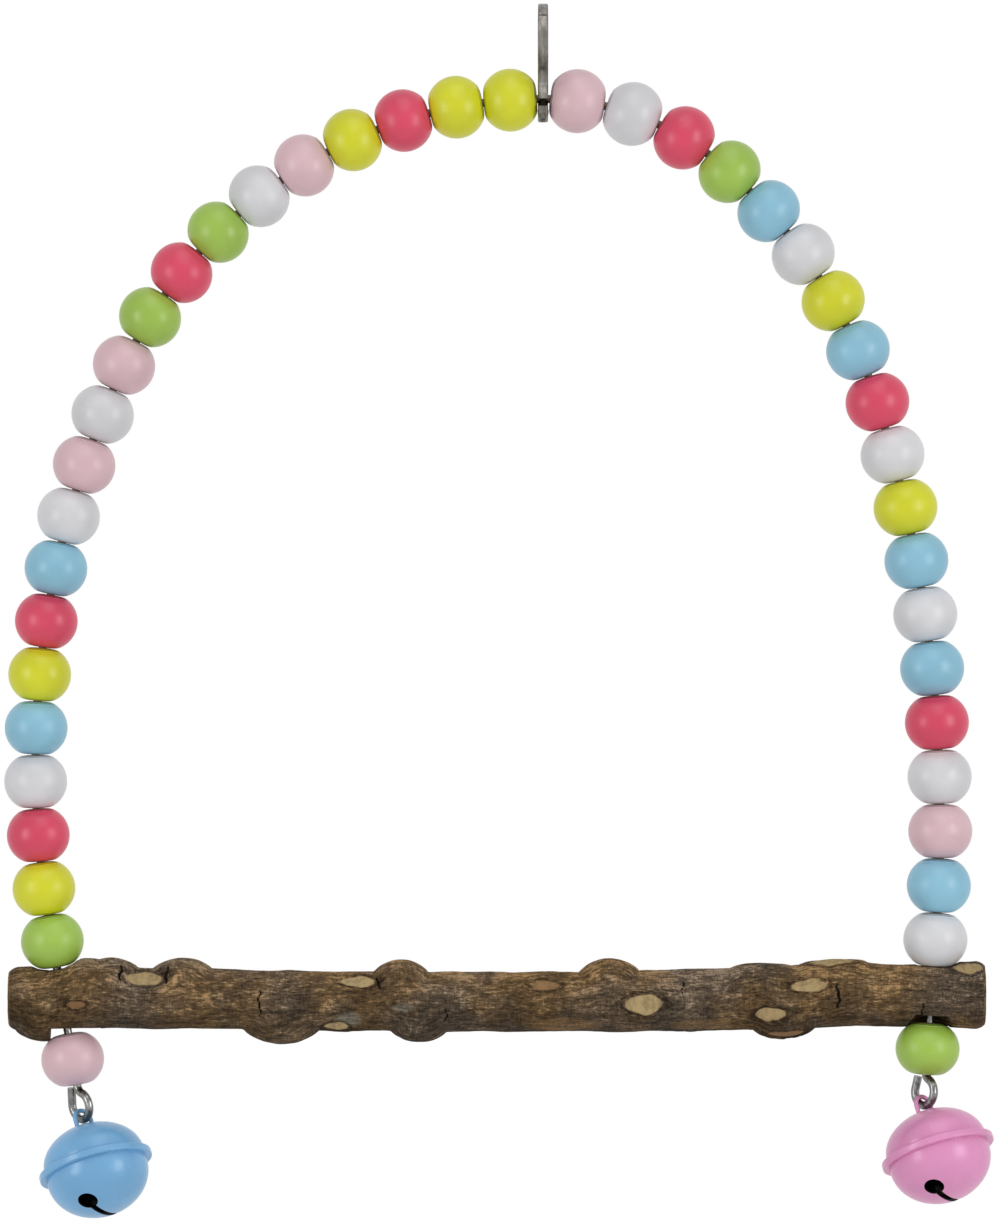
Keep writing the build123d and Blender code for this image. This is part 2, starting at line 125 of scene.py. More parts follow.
# Cut scars of side shoots: share, angle, half length, half width, redness
BRANCH_SCARS = [
    (0.140, 47, 5.6, 2.7, 0.0),
    (0.0695, 100, 2.8, 1.2, 1.0),
    (0.360, 46, 5.0, 2.2, 0.0),
    (0.337, 146, 3.6, 2.2, 0.1),
    (0.549, 54, 4.2, 1.8, 0.8),
    (0.651, 95, 5.6, 3.2, 0.0),
    (0.778, 118, 4.7, 2.1, 0.1),
    (0.820, 65, 5.4, 2.1, 0.1),
    (0.8415, 12, 6.6, 3.0, 0.0),
    (0.982, 26, 4.2, 3.4, 0.1),
    (0.797, 158, 5.6, 1.6, 0.9),
    (0.255, 232, 5.0, 2.4, 0.2),
    (0.465, 258, 4.4, 2.2, 0.0),
    (0.610, 215, 3.8, 2.0, 0.7),
    (0.905, 245, 5.2, 2.6, 0.1),
]
# Cracks across the fibre: share, angle of the middle, half length, half width
BRANCH_CRACKS = [
    (0.1155, 44, 2.6, 0.34),
    (0.1630, 46, 2.6, 0.34),
    (0.2577, 92, 5.0, 0.26),
    (0.379, 50, 2.6, 0.36),
    (0.8487, 88, 4.2, 0.36),
    (0.448, 115, 2.8, 0.22),
    (0.690, 60, 2.6, 0.22),
    (0.935, 118, 3.0, 0.22),
    (0.180, 250, 3.4, 0.30),
    (0.580, 230, 3.0, 0.30),
    (0.820, 270, 3.2, 0.30),
]
# Smoother patches: share, angle, half length, half width, and whether brown (0) or grey (1)
BRANCH_PATCHES = [
    (0.569, 138, 12.0, 4.0, 0.0),
    (0.349, 125, 5.0, 3.2, 1.0),
    (0.404, 100, 4.0, 1.8, 1.0),
    (0.520, 200, 11.0, 5.0, 0.0),
    (0.710, 142, 13.0, 3.4, 0.0),
    (0.760, 225, 8.0, 4.0, 1.0),
]
# Marks that the branch's mesh carries for the finish of its bark
BARK_MASKS = ("scar", "scar_rim", "crack", "hollow", "patch", "redness", "greyness", "bleach")
# Points along the branch and round it, and the radius at which its fibres are measured
BRANCH_ROWS = 660
BRANCH_COLUMNS = 136
FIBRE_RADIUS = 9 * MM
# Tones of the bark: place in the range of tones, and brightness
BARK_LEVELS = ((0.0, 0.30), (0.2, 0.52), (0.4, 0.76), (0.56, 1.0), (0.72, 1.38), (0.86, 2.0), (1.0, 3.5))

# What the camera and the lamps point at
VIEW_MIDDLE = Vector((-13.5 * MM, 0, -174.77 * MM))
# Softboxes: name, degrees to the right, degrees up, distance, width, power; then height over width
SOFTBOXES = [
    ("Right softbox", 50, 6, 1.3, 0.46, 5.0),
    ("Left softbox", -50, 3, 1.3, 0.42, 4.0),
    ("Top softbox", 10, 62, 1.5, 0.9, 5.0),
]
SOFTBOX_RATIO = 1.6


def srgb(red, green, blue):
    """A colour written in the usual 0 to 255 steps, as linear light."""
    steps = (value / 255 for value in (red, green, blue))
    return tuple(v / 12.92 if v <= 0.04045 else ((v + 0.055) / 1.055) ** 2.4 for v in steps)


def colour_setting(name, words, colour):
    """A colour that the user can change."""
    return bpy.props.FloatVectorProperty(
        name=name, description=words, subtype="COLOR", size=3, min=0, max=1, default=colour
    )


def length_setting(name, words, length):
    """A length that the user can change."""
    return bpy.props.FloatProperty(name=name, description=words, unit="LENGTH", precision=5, default=length)


class BeadSettings(bpy.types.PropertyGroup):
    """Sizes and paints of the turned beads."""

    diameter: length_setting("Diameter", "Width of a bead at its middle", 19.3 * MM)
    length: length_setting("Length", "Length of the two loose beads under the perch", 16.0 * MM)
    stout: bpy.props.FloatProperty(
        name="Stout", description="How much wider the beads on the right are", default=1.02
    )
    gap: length_setting("Gap", "Gap between two beads that touch on the arch", 0.06 * MM)
    face: length_setting("Face radius", "Radius of a bead's flat ends before they are rounded", 4.6 * MM)
    corner: length_setting("Corner", "How far the rounding runs in from the edge of the flat ends", 1.1 * MM)
    dome: length_setting("Dome", "How far the ends rise from their edge to the bore", 0.2 * MM)
    bore: length_setting("Bore radius", "Radius of the hole for the wire", 2.05 * MM)
    yellow: colour_setting("Yellow", "Paint of the yellow beads", srgb(212, 213, 28))
    raspberry: colour_setting("Raspberry", "Paint of the raspberry beads", srgb(218, 66, 96))
    pink: colour_setting("Pink", "Paint of the pale pink beads", srgb(219, 184, 191))
    white: colour_setting("White", "Paint of the white beads", srgb(214, 214, 217))
    green: colour_setting("Green", "Paint of the green beads", srgb(157, 192, 76))
    blue: colour_setting("Blue", "Paint of the sky blue beads", srgb(138, 191, 214))


class BranchSettings(bpy.types.PropertyGroup):
    """Sizes and colours of the branch perch."""

    drop: length_setting("Drop", "Height of the wire under the hook over the middle of the perch", 276.6 * MM)
    bore: length_setting("Bore radius", "Radius of the holes for the wire", 1.55 * MM)
    dish: length_setting("Dish radius", "Radius of the floor of the dished seats above", 5.6 * MM)
    seat: length_setting("Seat radius", "Radius of the flat seat at the lower right", 7.0 * MM)
    notch: length_setting("Notch", "Half the width of the sawn notch at the lower left", 7.8 * MM)
    recess: length_setting("Recess", "How far the lower cuts stand off the wire's axis", 2.6 * MM)
    sink: length_setting("Sink", "How far the upper left dish lies under its seat", 0.5 * MM)
    seat_depth: length_setting("Seat depth", "How far out from a seat the wood is cut away", 15.0 * MM)
    rough: length_setting("Fibre height", "Height of the coarse fibres of the bark", 0.28 * MM)
    bark: colour_setting("Bark", "Main colour of the bark", srgb(119, 95, 65))
    scar: colour_setting("Scar", "Colour of the cut scars", srgb(178, 156, 114))


class MetalSettings(bpy.types.PropertyGroup):
    """Colours of the steel, the painted shade on it and the painted bells, and the notch at the foot of the
    gate.
    """

    steel: colour_setting("Steel", "Colour of the plated hook", srgb(140, 136, 130))
    wire: colour_setting("Wire", "Colour of the drawn wire", srgb(150, 150, 149))
    blue: colour_setting("Blue bell", "Paint of the bell on the left", srgb(117, 174, 218))
    pink: colour_setting("Pink bell", "Paint of the bell on the right", srgb(224, 146, 192))
    # painted shade in the notch at the foot of the gate
    notch_shade: colour_setting("Grease", "Colour of the notch at the foot of the gate", srgb(34, 28, 22))
    # painted shade on the wire in the gaps between the beads
    wire_gap_shade: colour_setting("Rubbed wire", "Colour of the wire where the beads rub on it", srgb(78, 72, 64))
    notch_top: length_setting("Notch top", "Start of the notch under the arch's swing axis", 0.2 * MM)
    notch_depth: length_setting("Notch depth", "End of the notch under the arch's swing axis", 2.4 * MM)


class StageSettings(bpy.types.PropertyGroup):
    """The camera, the floor and the light from all around."""

    view_height: length_setting("View height", "Height of what the camera frames", 374.24 * MM)
    distance: length_setting("Distance", "Distance from the camera to the swing", 2.6)
    floor_level: length_setting("Floor", "Level of the floor under the swing", -0.46)
    ambient: bpy.props.FloatProperty(
        name="Ambient", description="Strength of the light from all around", default=0.44, min=0
    )


class Results:
    """A node's outputs, by name or number, as signals."""

    def __init__(self, tree, node):
        self.tree = tree
        self.node = node

    def __getitem__(self, key):
        return Signal(self.tree, self.node.outputs[key])


class Signal:
    """An output of a node, with sums and effects that add the nodes for them."""

    def __init__(self, tree, socket):
        self.tree = tree
        self.socket = socket

    def __add__(self, other):
        return self.calc("ADD", other)

    def __sub__(self, other):
        return self.calc("SUBTRACT", other)

    def __mul__(self, other):
        return self.calc("MULTIPLY", other)

    def __truediv__(self, other):
        return self.calc("DIVIDE", other)

    def calc(self, operation, *others):
        """A math node's result."""
        return put(self.tree, "ShaderNodeMath", dict(enumerate((self, *others))), operation=operation)[0]

    def centred(self, gain):
        """A noise value measured from its middle and made stronger or weaker."""
        return (self - 0.5) * gain

    def spread(self, low, high, to_low=0.0, to_high=1.0):
        """The value's range stretched to another range and held inside it."""
        sockets = {"Value": self, "From Min": low, "From Max": high, "To Min": to_low, "To Max": to_high}
        return put(self.tree, "ShaderNodeMapRange", sockets)["Result"]

    def blend(self, first, second):
        """Two colours mixed by this share."""
        sockets = {0: self}
        for key, colour in ((6, first), (7, second)):
            sockets[key] = colour if isinstance(colour, Signal) else (*colour, 1)
        return put(self.tree, "ShaderNodeMix", sockets, data_type="RGBA")[2]

    def ramp(self, stops):
        """Colours along the value, from pairs of a place and a colour."""
        ramp = put(self.tree, "ShaderNodeValToRGB", {"Fac": self})
        elements = ramp.node.color_ramp.elements
        for element, (place, colour) in zip(elements, (stops[0], stops[-1])):
            element.position = place
            element.color = (*colour, 1)
        for place, colour in stops[1:-1]:
            elements.new(place).color = (*colour, 1)
        return ramp[0]

    def scaled(self, scales):
        """The place stretched along each axis."""
        return put(self.tree, "ShaderNodeVectorMath", {0: self, 1: scales}, operation="MULTIPLY")[0]

    def distance(self):
        """How far the place lies from the origin."""
        return put(self.tree, "ShaderNodeVectorMath", {0: self}, operation="LENGTH")["Value"]

    def noise(self, scale, detail, **more):
        """A noise texture at the place."""
        sockets = {"Vector": self, "Scale": scale, "Detail": detail, **more}
        return put(self.tree, "ShaderNodeTexNoise", sockets)

    def cells(self, scale):
        """A cell texture at the place."""
        return put(self.tree, "ShaderNodeTexVoronoi", {"Vector": self, "Scale": scale})

    def effect(self, name, sockets):
        """A shared node group at the place."""
        group = bpy.data.node_groups[name]
        return put(self.tree, "ShaderNodeGroup", {"Vector": self, **sockets}, node_tree=group)

    def fibres(self, along, across):
        """Wood fibres, with how often they change along and across their length."""
        return self.effect("Wood fibre", {"Along": along, "Across": across})


def fill(node, sockets):
    """Fill a node's sockets from values or from signals."""
    for key, value in sockets.items():
        if isinstance(value, Signal):
            value.tree.links.new(value.socket, node.inputs[key])
        else:
            node.inputs[key].default_value = value


def put(tree, kind, sockets=None, **options):
    """Add a node, set its options, fill its sockets and return its results."""
    node = tree.nodes.new(kind)
    for name, value in options.items():
        setattr(node, name, value)
    fill(node, sockets or {})
    return Results(tree, node)


def shade(colour, level):
    """A colour made darker or lighter."""
    return tuple(value * level for value in colour)


def seen_rays(tree):
    """One for rays seen straight, mirrored or let through, and nought for those that only light."""
    path = put(tree, "ShaderNodeLightPath")
    seen = path["Is Camera Ray"].calc("MAXIMUM", path["Is Glossy Ray"])
    return seen.calc("MAXIMUM", path["Is Transmission Ray"])


def new_group(name, inputs, outputs):
    """A shader node group with named sockets: what it is given, and the node that takes its results."""
    group = bpy.data.node_groups.new(name, "ShaderNodeTree")
    group.interface.new_socket("Vector", in_out="INPUT", socket_type="NodeSocketVector")
    for socket, kind, default in inputs:
        made = group.interface.new_socket(socket, in_out="INPUT", socket_type=f"NodeSocket{kind}")
        made.default_value = default
    for socket in outputs:
        group.interface.new_socket(socket, in_out="OUTPUT", socket_type="NodeSocketFloat")
    return put(group, "NodeGroupInput"), put(group, "NodeGroupOutput").node


def make_paint_skin():
    """Brushed or sprayed paint: a faint ripple, slow changes of tone and small specks."""
    outputs = ("Tone", "Ripple", "Specks")
    given, result = new_group("Paint skin", [("Ripple size", "Float", 600.0)], outputs)
    place = given["Vector"]
    tone = place.noise(70.0, 3.0)["Fac"]
    ripple = place.noise(given["Ripple size"], 2.0)["Fac"]
    specks = place.cells(420.0)["Distance"].spread(0.05, 0.13, 1.0, 0.0)
    fill(result, {"Tone": tone, "Ripple": ripple, "Specks": specks})


def make_wood_fibre():
    """Wood fibres: long streaks along the first axis of the given coordinates."""
    inputs = [("Along", "Float", 45.0), ("Across", "Float", 700.0)]
    given, result = new_group("Wood fibre", inputs, ("Streak", "Fine"))
    across = given["Across"]
    stretch = put(given.tree, "ShaderNodeCombineXYZ", {"X": given["Along"], "Y": across, "Z": across})
    place = given["Vector"].scaled(stretch[0])
    streak = place.noise(1.0, 6.0, Roughness=0.68)["Fac"]
    fill(result, {"Streak": streak, "Fine": place.noise(3.3, 3.0, Distortion=0.3)["Fac"]})


def make_metal_wear():
    """Handled steel: drawn lines along one axis, and dull spots."""
    inputs = [("Lines", "Vector", (300.0, 300.0, 4000.0))]
    given, result = new_group("Metal wear", inputs, ("Lines", "Tarnish"))
    lines = given["Vector"].scaled(given["Lines"]).noise(1.0, 3.0)["Fac"]
    tarnish = given["Vector"].noise(160.0, 5.0, Roughness=0.65)["Fac"]
    fill(result, {"Lines": lines, "Tarnish": tarnish.spread(0.42, 0.66)})


def empty_tree(owner):
    """The node tree of a material or world, emptied."""
    owner.use_nodes = True
    owner.node_tree.nodes.clear()
    return owner.node_tree


def new_finish(name):
    """An empty material with a Principled shader, and its object coordinates."""
    material = bpy.data.materials.new(name)
    tree = empty_tree(material)
    shader = put(tree, "ShaderNodeBsdfPrincipled")
    put(tree, "ShaderNodeOutputMaterial", {"Surface": shader[0]})
    return material, shader.node, put(tree, "ShaderNodeTexCoord")["Object"]


def dress_shader(shader, colour, rough, height, strength, depth, more=None):
    """Give a shader its colour, its roughness, a bump from a height, and values for other sockets."""
    sockets = {"Height": height, "Strength": strength, "Distance": depth}
    bump = put(height.tree, "ShaderNodeBump", sockets)[0]
    fill(shader, {"Base Color": colour, "Roughness": rough, "Normal": bump, **(more or {})})


def two_tones(skin, colour, dark):
    """Paint that changes slowly between a lighter and a darker tone."""
    light = tuple(min(1.0, value * 1.05 + 0.004) for value in colour)
    return skin["Tone"].spread(0.35, 0.65).blend(shade(colour, dark), light)


def bead_paint(name, colour):
    """Satin paint on a turned bead, darkened towards the bore as painted shade, and worn through to the wood
    there.
    """
    material, shader, place = new_finish(name)
    skin = place.effect("Paint skin", {"Ripple size": 520.0})
    end = put(place.tree, "ShaderNodeAttribute", attribute_name="bore_wear")["Fac"]
    bare = (end + skin["Ripple"].centred(0.5)).spread(0.55, 0.7)
    wood = place.fibres(300.0, 900.0)["Streak"].blend(srgb(150, 118, 78), srgb(214, 186, 142))
    # the paint darkens towards the bore, as painted shade where the beads meet
    shaded = end.spread(0.15, 0.6, 0.0, 0.35).blend(two_tones(skin, colour, 0.93), shade(colour, 0.55))
    rough = skin["Tone"].spread(0.3, 0.7, 0.32, 0.4) + bare * 0.3
    height = skin["Ripple"] + skin["Specks"] * 0.25
    dress_shader(shader, bare.blend(shaded, wood), rough, height, 0.1, 0.06 * MM)
    return material


def bell_paint(name, colour):
    """Gloss paint on a pressed bell."""
    material, shader, place = new_finish(name)
    skin = place.effect("Paint skin", {"Ripple size": 380.0})
    rough = skin["Tone"].spread(0.3, 0.7, 0.24, 0.32)
    height = skin["Ripple"] + skin["Specks"] * 0.3
    dress_shader(shader, two_tones(skin, colour, 0.94), rough, height, 0.12, 0.08 * MM)
    return material


def steel(name, colour, lines, roughness, painted_shade=None):
    """Plain steel with drawn lines and dull, darker spots, and painted shade of a colour between two heights.
    """
    material, shader, place = new_finish(name)
    wear = place.effect("Metal wear", {"Lines": lines})
    dark = shade(colour, 0.4)
    light = tuple(min(1.0, value * 1.2) for value in colour)
    drawn = wear["Lines"].spread(0.3, 0.7).blend(dark, light)
    dull = (wear["Tarnish"] * 0.55).blend(drawn, dark)
    # painted shade: the steel between two heights is darkened to a given colour
    if painted_shade:
        low, high, shade_colour = painted_shade
        edge = 0.1 * MM
        height = put(place.tree, "ShaderNodeSeparateXYZ", {0: place})["Z"]
        above = height.spread(low - edge, low + edge)
        below = height.spread(high + edge, high - edge)
        dull = (above * below).blend(dull, shade_colour)
    rough = wear["Tarnish"] * 0.16 + roughness
    dress_shader(shader, dull, rough, wear["Lines"], 0.15, 0.05 * MM, {"Metallic": 1.0})
    return material


def fissure(grain, along, across, wide):
    """Thin lines where a stretched noise passes its middle value."""
    return grain.fibres(along, across)["Fine"].centred(1.0).calc("ABSOLUTE").spread(0.0, wide, 1.0, 0.0)


def bark_flakes(grain, blotch):
    """Small flakes drawn out along the fibres, each with its own value, bent by a noise."""
    sockets = {"Factor": 0.004, 4: grain, 5: blotch["Color"]}
    strayed = put(grain.tree, "ShaderNodeMix", sockets, data_type="VECTOR")[1]
    return strayed.scaled((170.0, 760.0, 760.0)).cells(1.0)["Color"]


def bark_tones(tone, cloud, colour):
    """Brown bark with dusty, greyer clouds."""
    grey = tuple(0.6 * value + 0.4 * sum(colour) / 3 for value in colour)
    brown, dusty = (
        tone.ramp([(at, shade(base, level)) for at, level in BARK_LEVELS]) for base in (colour, grey)
    )
    return cloud.spread(0.42, 0.6).blend(brown, dusty)


def smooth_patch(relief, greyness):
    """Bark that is rubbed smooth, brown or grey."""
    worn = relief.spread(-0.6, 0.5)
    brown = worn.blend(srgb(70, 50, 28), srgb(146, 116, 76))
    grey = worn.blend(srgb(70, 66, 56), srgb(146, 142, 128))
    return greyness.blend(brown, grey)


def scar_wood(streak, redness, splits, colour):
    """The wood of a cut scar, pale or reddish, with dry splits."""
    stops = [(0.0, shade(colour, 0.66)), (0.5, colour), (1.0, shade(colour, 1.16))]
    red = (redness * 0.8).blend(streak.spread(0.3, 0.7).ramp(stops), srgb(122, 82, 52))
    return (splits * 0.4).blend(red, srgb(84, 62, 38))


def branch_bark(bark_colour, scar_colour):
    """Stripped bark: brown and grey fibres, painted light on top, painted shade in hollows, darker cracks,
    pale cut scars, smooth patches.
    """
    material, shader, place = new_finish("Branch bark")
    grain = put(place.tree, "ShaderNodeAttribute", attribute_name="grain")["Vector"]
    masks = {}
    for mask in BARK_MASKS:
        masks[mask] = put(place.tree, "ShaderNodeAttribute", attribute_name=mask)["Fac"]
    broad = grain.fibres(95.0, 560.0)["Streak"]
    thin = grain.fibres(520.0, 1900.0)
    streak = thin["Streak"]
    checks = grain.fibres(1900.0, 420.0)["Streak"]
    blotch = grain.noise(85.0, 5.0, Roughness=0.62)
    cloud = grain.noise(40.0, 3.0)["Fac"]

    across_split = fissure(grain, 210.0, 95.0, 0.028) * cloud.spread(0.5, 0.56)
    splits = (fissure(grain, 42.0, 330.0, 0.045) * 0.75).calc("MAXIMUM", across_split)
    relief = broad.centred(1.3) + streak.centred(2.3) + checks.centred(0.9)
    relief = relief + bark_flakes(grain, blotch).centred(0.34) - splits * 0.34

    # the top of the branch is made lighter here, as painted light from above
    tone = relief + masks["bleach"] * 0.25 + blotch["Fac"].centred(1.5) + 0.57
    bark = bark_tones(tone, cloud, bark_colour)
    # the hollows are darkened towards a near black brown, as painted shade
    shaded = (masks["hollow"] * 0.6).blend(bark, srgb(44, 34, 23))
    ragged = (masks["patch"] + blotch["Fac"].centred(2.4)).spread(0.25, 0.85)
    patched = (ragged * 0.7).blend(shaded, smooth_patch(relief, masks["greyness"]))
    broken_rim = masks["scar_rim"] * streak.spread(0.38, 0.62, 0.9, 0.25)
    rimmed = broken_rim.blend(patched, srgb(46, 34, 22))
    scar_edge = (masks["scar"] + streak.centred(0.9)).spread(0.35, 0.65)
    scarred = scar_edge.blend(rimmed, scar_wood(streak, masks["redness"], splits, scar_colour))
    crack_edge = (masks["crack"] + thin["Fine"].centred(0.35)).spread(0.14, 0.4)
    colour = crack_edge.blend(scarred, srgb(24, 17, 11))
    rough = masks["patch"].spread(0.0, 1.0, 0.88, 0.66)
    calm = masks["scar"].calc("MAXIMUM", masks["patch"]).spread(0.0, 1.0, 1.0, 0.3)
    dress_shader(shader, colour, rough, relief * calm, 0.8, 0.9 * MM, {"Specular IOR Level": 0.1})
    return material


def cut_wood(level):
    """Sawn end grain and drilled faces: rings round the branch's middle level, and saw marks."""
    material, shader, place = new_finish("Cut wood")
    sockets = {"Vector": place, "Scale": (0, 1, 1), "Location": (0, 0, -level)}
    radius = put(place.tree, "ShaderNodeMapping", sockets)[0].distance()
    bent = radius + place.noise(240.0, 3.0)["Fac"] * (1.6 * MM)
    tone = (bent * 4800.0).calc("SINE") * 0.16 + place.fibres(500.0, 900.0)["Streak"]
    wood = tone.spread(0.3, 0.75).blend(srgb(66, 49, 33), srgb(126, 102, 72))
    rough = tone.spread(0.3, 0.7, 0.9, 0.75)
    dress_shader(shader, wood, rough, tone, 0.6, 0.3 * MM, {"Specular IOR Level": 0.25})
    return material


def add_object(name, data):
    """Add an object to the scene."""
    thing = bpy.data.objects.new(name, data)
    bpy.context.scene.collection.objects.link(thing)
    return thing


def made_mesh(thing, name):
    """The plain mesh that an object's modifiers make, in place of the object."""
    graph = bpy.context.evaluated_depsgraph_get()
    mesh = bpy.data.meshes.new_from_object(thing.evaluated_get(graph), depsgraph=graph)
    mesh.name = name
    bpy.data.objects.remove(thing)
    return mesh


def add_finishes(mesh, finishes):
    """Add finishes to a mesh and return it."""
    for finish in finishes:
        mesh.materials.append(finish)
    return mesh


def place_piece(name, mesh, body, slot, *nodes):
    """Add a finished mesh as a piece that rides on a body and stands for CAD nodes."""
    piece = add_object(name, mesh)
    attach(piece, body)
    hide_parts(*nodes)


def dress_node(node, *finishes):
    """Give a CAD node that keeps its own shape its finishes, and return its mesh."""
    mesh = frame["nodes"][node].data
    mesh.materials.clear()
    return add_finishes(mesh, finishes)


def shade_inside(mesh, centre):
    """Give the faces of a shell that look towards its centre its second finish."""
    for polygon in mesh.polygons:
        if polygon.normal.dot(polygon.center - centre) < 0:
            polygon.material_index = 1


def bead_section(tree, given):
    """The curves of a bead's section, and the radius of the path that the section goes round on."""
    face, corner, bore = given["Face Radius"], given["Corner"], given["Bore Radius"]
    outer = given["Diameter"] * 0.5
    half = given["Length"] * 0.5
    path_radius = outer * 0.5
    rim = half - given["Dome"]
    # the barrel is an arc through the middle and the edges of both faces
    arc_middle = (outer * outer - (face * face + rim * rim)) / ((outer - face) * 2.0)
    arc_radius = outer - arc_middle
    angle = rim.calc("ARCTAN2", face - arc_middle) - corner / arc_radius
    shoulder = (angle.calc("COSINE") * arc_radius + arc_middle, angle.calc("SINE") * arc_radius)
    # the end rises from its rounded corner to the lip of the bore
    lip = corner * LIP_SHARE
    lip_top = (bore + lip, half)
    lip_foot = (bore, half - lip)
    slope = given["Dome"] / (face - lip_top[0])
    flat_edge = (face - corner, slope * corner + rim)

    def points(upper, **spots):
        """Points of the section's upper or lower half, measured from the path, by socket."""
        made = {}
        for socket, (out, height) in spots.items():
            place = {"X": out - path_radius, "Y": height if upper else height * -1.0}
            made[socket] = put(tree, "ShaderNodeCombineXYZ", place)[0]
        return made

    barrel = {**points(True, Start=shoulder, Middle=(outer, 0.0)), **points(False, End=shoulder)}
    barrel["Resolution"] = BEAD_STEPS["barrel"]
    strips = [put(tree, "GeometryNodeCurveArc", barrel, mode="POINTS")]
    for upper in (True, False):
        for start, middle, end, steps in (
            (shoulder, (face, rim), flat_edge, BEAD_STEPS["corner"]),
            (lip_top, (bore, half), lip_foot, BEAD_STEPS["lip"]),
        ):
            bend = {"Resolution": steps, **points(upper, Start=start, Middle=middle, End=end)}
            strips.append(put(tree, "GeometryNodeCurveQuadraticBezier", bend))
        flat = points(upper, Start=flat_edge, End=lip_top)
        strips.append(put(tree, "GeometryNodeCurvePrimitiveLine", flat))
    wall = {**points(True, Start=lip_foot), **points(False, End=lip_foot)}
    strips.append(put(tree, "GeometryNodeCurvePrimitiveLine", wall))
    section = put(tree, "GeometryNodeJoinGeometry")
    for strip in strips:
        fill(section.node, {0: strip["Curve"]})
    return section[0], path_radius


def make_bead_tree():
    """A turned bead with rounded, domed ends, threaded on the wire at a place and along a direction."""
    tree = bpy.data.node_groups.new("Turned bead", "GeometryNodeTree")
    tree.interface.new_socket("Geometry", in_out="OUTPUT", socket_type="NodeSocketGeometry")
    for kind, sockets in (
        ("Float", ("Diameter", "Length", "Face Radius", "Corner", "Dome", "Bore Radius")),
        ("Vector", ("Place", "Wire Direction")),
        ("Material", ("Paint",)),
    ):
        for socket in sockets:
            tree.interface.new_socket(socket, in_out="INPUT", socket_type=f"NodeSocket{kind}")
    given = put(tree, "NodeGroupInput")
    section, path_radius = bead_section(tree, given)
    circle = {"Resolution": BEAD_STEPS["round"], "Radius": path_radius}
    ring = put(tree, "GeometryNodeCurvePrimitiveCircle", circle)["Curve"]
    path = put(tree, "GeometryNodeSetCurveNormal", {"Curve": ring}, mode="Z_UP")["Curve"]
    turned = put(tree, "GeometryNodeCurveToMesh", {"Curve": path, "Profile Curve": section})["Mesh"]
    closed = put(tree, "GeometryNodeMergeByDistance", {"Geometry": turned, "Distance": 1e-6})["Geometry"]
    smooth = put(tree, "GeometryNodeSetShadeSmooth", {"Geometry": closed})["Geometry"]
    # how near a point is to the bore, for the worn paint and the painted shade there
    spot = put(tree, "ShaderNodeSeparateXYZ", {0: put(tree, "GeometryNodeInputPosition")[0]})
    from_axis = put(tree, "ShaderNodeCombineXYZ", {"X": spot["X"], "Y": spot["Y"]})[0].distance()
    near_bore = from_axis.spread(given["Face Radius"] * WEAR_AND_SHADE_REACH, given["Bore Radius"])
    wear = {"Geometry": smooth, "Name": "bore_wear", "Value": near_bore}
    marked = put(tree, "GeometryNodeStoreNamedAttribute", wear, data_type="FLOAT", domain="POINT")
    way = {"Vector": given["Wire Direction"]}
    turn = put(tree, "FunctionNodeAlignRotationToVector", way, axis="Z")["Rotation"]
    seat = {"Geometry": marked["Geometry"], "Translation": given["Place"], "Rotation": turn}
    threaded = put(tree, "GeometryNodeTransform", seat)["Geometry"]
    real = put(tree, "GeometryNodeRealizeInstances", {"Geometry": threaded})["Geometry"]
    painted = put(tree, "GeometryNodeSetMaterial", {"Geometry": real, "Material": given["Paint"]})
    put(tree, "NodeGroupOutput", {"Geometry": painted["Geometry"]})
    return tree


def grown_mesh(tree, name, values):
    """The plain mesh that a geometry tree makes from named input values."""
    holder = add_object(name, bpy.data.meshes.new(name))
    modifier = holder.modifiers.new("Tree", "NODES")
    modifier.node_group = tree
    sockets = {
        item.name: item.identifier for item in tree.interface.items_tree if item.in_out == "INPUT"
    }
    for socket, value in values.items():
        modifier[sockets[socket]] = value
    return made_mesh(holder, name)


def arch_beads(side):
    """The joints of one side's beads on the arch, from the hook down."""
    start = f"spin_bead_{side}_"
    return [JOINTS[name] for name in sorted(JOINTS) if name.startswith(start) and name[-1].isdigit()]


def bead_rooms(contact, gap):
    """How long each bead of the arch can be before it meets its neighbours, the hook or the perch.

    Neighbours lean to each other where the wire is bent, and then meet at the contact radius.
    """
    rooms = {}
    hook_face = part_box("hook_body")[1].x
    for side in SIDES:
        string = arch_beads(side)
        to_hook = (Vector(string[0]["pos_m"]) - Vector(WIRE_TOP)).length
        rooms[string[0]["name"]] = 2 * (to_hook - hook_face - gap)
        to_seat = (Vector(string[-1]["pos_m"]) - seat_places(side)[0][0]).length
        rooms[string[-1]["name"]] = 2 * (to_seat - gap)
        for first, second in zip(string, string[1:]):
            pitch = (Vector(first["pos_m"]) - Vector(second["pos_m"])).length
            lean = Vector(first["axis"]).angle(Vector(second["axis"]))
            room = pitch - lean * contact - gap
            for name in (first["name"], second["name"]):
                rooms[name] = min(rooms.get(name, room), room)
    return rooms


